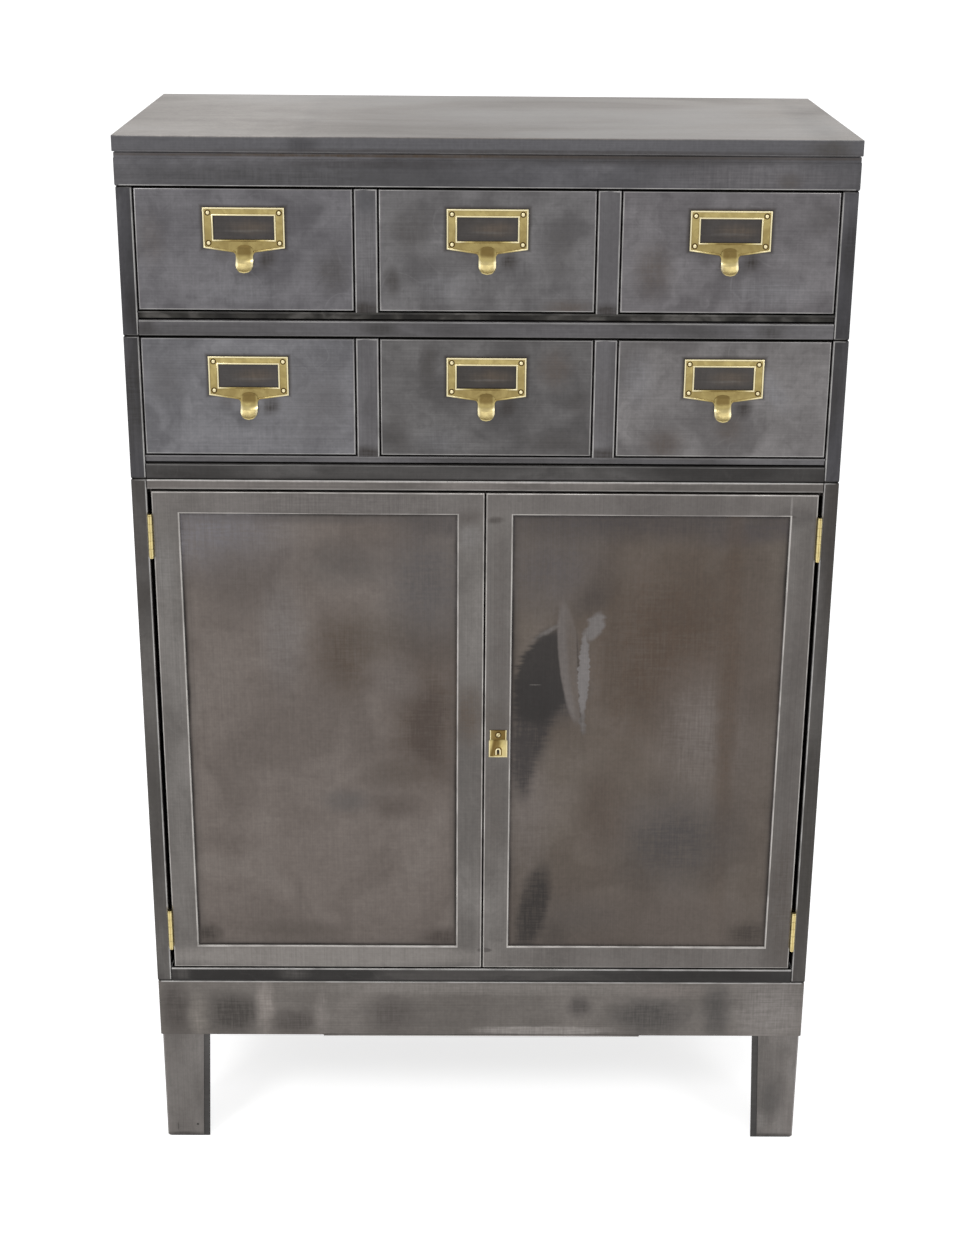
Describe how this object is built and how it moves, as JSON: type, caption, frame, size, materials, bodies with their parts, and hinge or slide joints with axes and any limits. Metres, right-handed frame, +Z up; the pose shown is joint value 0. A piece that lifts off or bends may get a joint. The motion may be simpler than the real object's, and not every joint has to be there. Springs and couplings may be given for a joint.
{
  "type": "drawer cabinet",
  "caption": "Stacking steel filing cabinet: card drawers with brass label pulls above a cupboard with hinged panelled doors, on an apron with angle legs.",
  "frame": {"origin": "on the floor, under the middle of the whole outline, the pulls included", "axes": "+Z up, +X to the right as seen from the front, the drawer and door fronts face -Y"},
  "size_m": [0.8412, 0.4356, 1.3092],
  "materials": {
    "shell_steel": "stripped and blackened sheet steel, worn bright on the edges",
    "drawer_steel": "stripped sheet steel, cross-brushed, with a grey-brown patina",
    "door_steel": "stripped sheet steel, brushed upright, with dark stains",
    "inner_steel": "plain dark sheet steel",
    "brass": "aged brass, polished on the raised edges"
  },
  "bodies": {
    "cabinet": {"cap_slab": "shell_steel", "cap_frieze": "shell_steel", "upper_side_left": "shell_steel", "upper_side_right": "shell_steel", "upper_back": "inner_steel", "upper_floor": "shell_steel", "upper_rail": "shell_steel", "upper_dividers": "shell_steel", "lower_side_left": "shell_steel", "lower_side_right": "shell_steel", "lower_back": "inner_steel", "lower_floor": "shell_steel", "lower_rail": "shell_steel", "lower_dividers": "shell_steel", "drawer_runners": "inner_steel", "section_bolts": "inner_steel", "cupboard_side_left": "shell_steel", "cupboard_side_right": "shell_steel", "cupboard_back": "inner_steel", "cupboard_floor": "inner_steel", "cupboard_top_rail": "shell_steel", "cupboard_bottom_rail": "shell_steel", "shelf": "inner_steel", "shelf_clips": "inner_steel", "fixed_hinge_leaves": "brass", "hinge_pins": "brass", "apron_front": "shell_steel", "apron_back": "shell_steel", "apron_sides": "shell_steel", "leg_angles": "inner_steel", "leg_covers": "shell_steel"},
    "drawer_1": {"drawer_1_front": "drawer_steel", "drawer_1_tray": "inner_steel", "drawer_1_pull": "brass"},
    "drawer_2": {"drawer_2_front": "drawer_steel", "drawer_2_tray": "inner_steel", "drawer_2_pull": "brass"},
    "drawer_3": {"drawer_3_front": "drawer_steel", "drawer_3_tray": "inner_steel", "drawer_3_pull": "brass"},
    "drawer_4": {"drawer_4_front": "drawer_steel", "drawer_4_tray": "inner_steel", "drawer_4_pull": "brass"},
    "drawer_5": {"drawer_5_front": "drawer_steel", "drawer_5_tray": "inner_steel", "drawer_5_pull": "brass"},
    "drawer_6": {"drawer_6_front": "drawer_steel", "drawer_6_tray": "inner_steel", "drawer_6_pull": "brass"},
    "left_door": {"left_door_frame": "door_steel", "left_door_panel": "door_steel", "left_door_leaves": "brass", "left_bolt_guide": "inner_steel"},
    "left_door_bolt": {"left_bolt": "inner_steel"},
    "right_door": {"right_door_frame": "door_steel", "right_door_panel": "door_steel", "right_door_leaves": "brass", "lock_plate": "brass", "lock_case": "brass"},
    "right_door_lock_bolt": {"lock_bolt": "brass"}
  },
  "joints": [
    {"name": "drawer_1_slide", "type": "slide", "parent": "cabinet", "child": "drawer_1", "axis": [0, -1, 0], "range_m": [0, 0.34]},
    {"name": "drawer_2_slide", "type": "slide", "parent": "cabinet", "child": "drawer_2", "axis": [0, -1, 0], "range_m": [0, 0.34]},
    {"name": "drawer_3_slide", "type": "slide", "parent": "cabinet", "child": "drawer_3", "axis": [0, -1, 0], "range_m": [0, 0.34]},
    {"name": "drawer_4_slide", "type": "slide", "parent": "cabinet", "child": "drawer_4", "axis": [0, -1, 0], "range_m": [0, 0.34]},
    {"name": "drawer_5_slide", "type": "slide", "parent": "cabinet", "child": "drawer_5", "axis": [0, -1, 0], "range_m": [0, 0.34]},
    {"name": "drawer_6_slide", "type": "slide", "parent": "cabinet", "child": "drawer_6", "axis": [0, -1, 0], "range_m": [0, 0.34]},
    {"name": "left_door_hinge", "type": "hinge", "parent": "cabinet", "child": "left_door", "pos_m": [-0.3983, -0.2054, 0.57355], "axis": [0, 0, -1], "range_deg": [0, 180]},
    {"name": "right_door_hinge", "type": "hinge", "parent": "cabinet", "child": "right_door", "pos_m": [0.3983, -0.2054, 0.57355], "axis": [0, 0, 1], "range_deg": [0, 180]},
    {"name": "left_bolt_slide", "type": "slide", "parent": "left_door", "child": "left_door_bolt", "axis": [0, 0, 1], "range_m": [0, 0.009]},
    {"name": "lock_bolt_slide", "type": "slide", "parent": "right_door", "child": "right_door_lock_bolt", "axis": [-1, 0, 0], "range_m": [0, 0.008]}
  ]
}
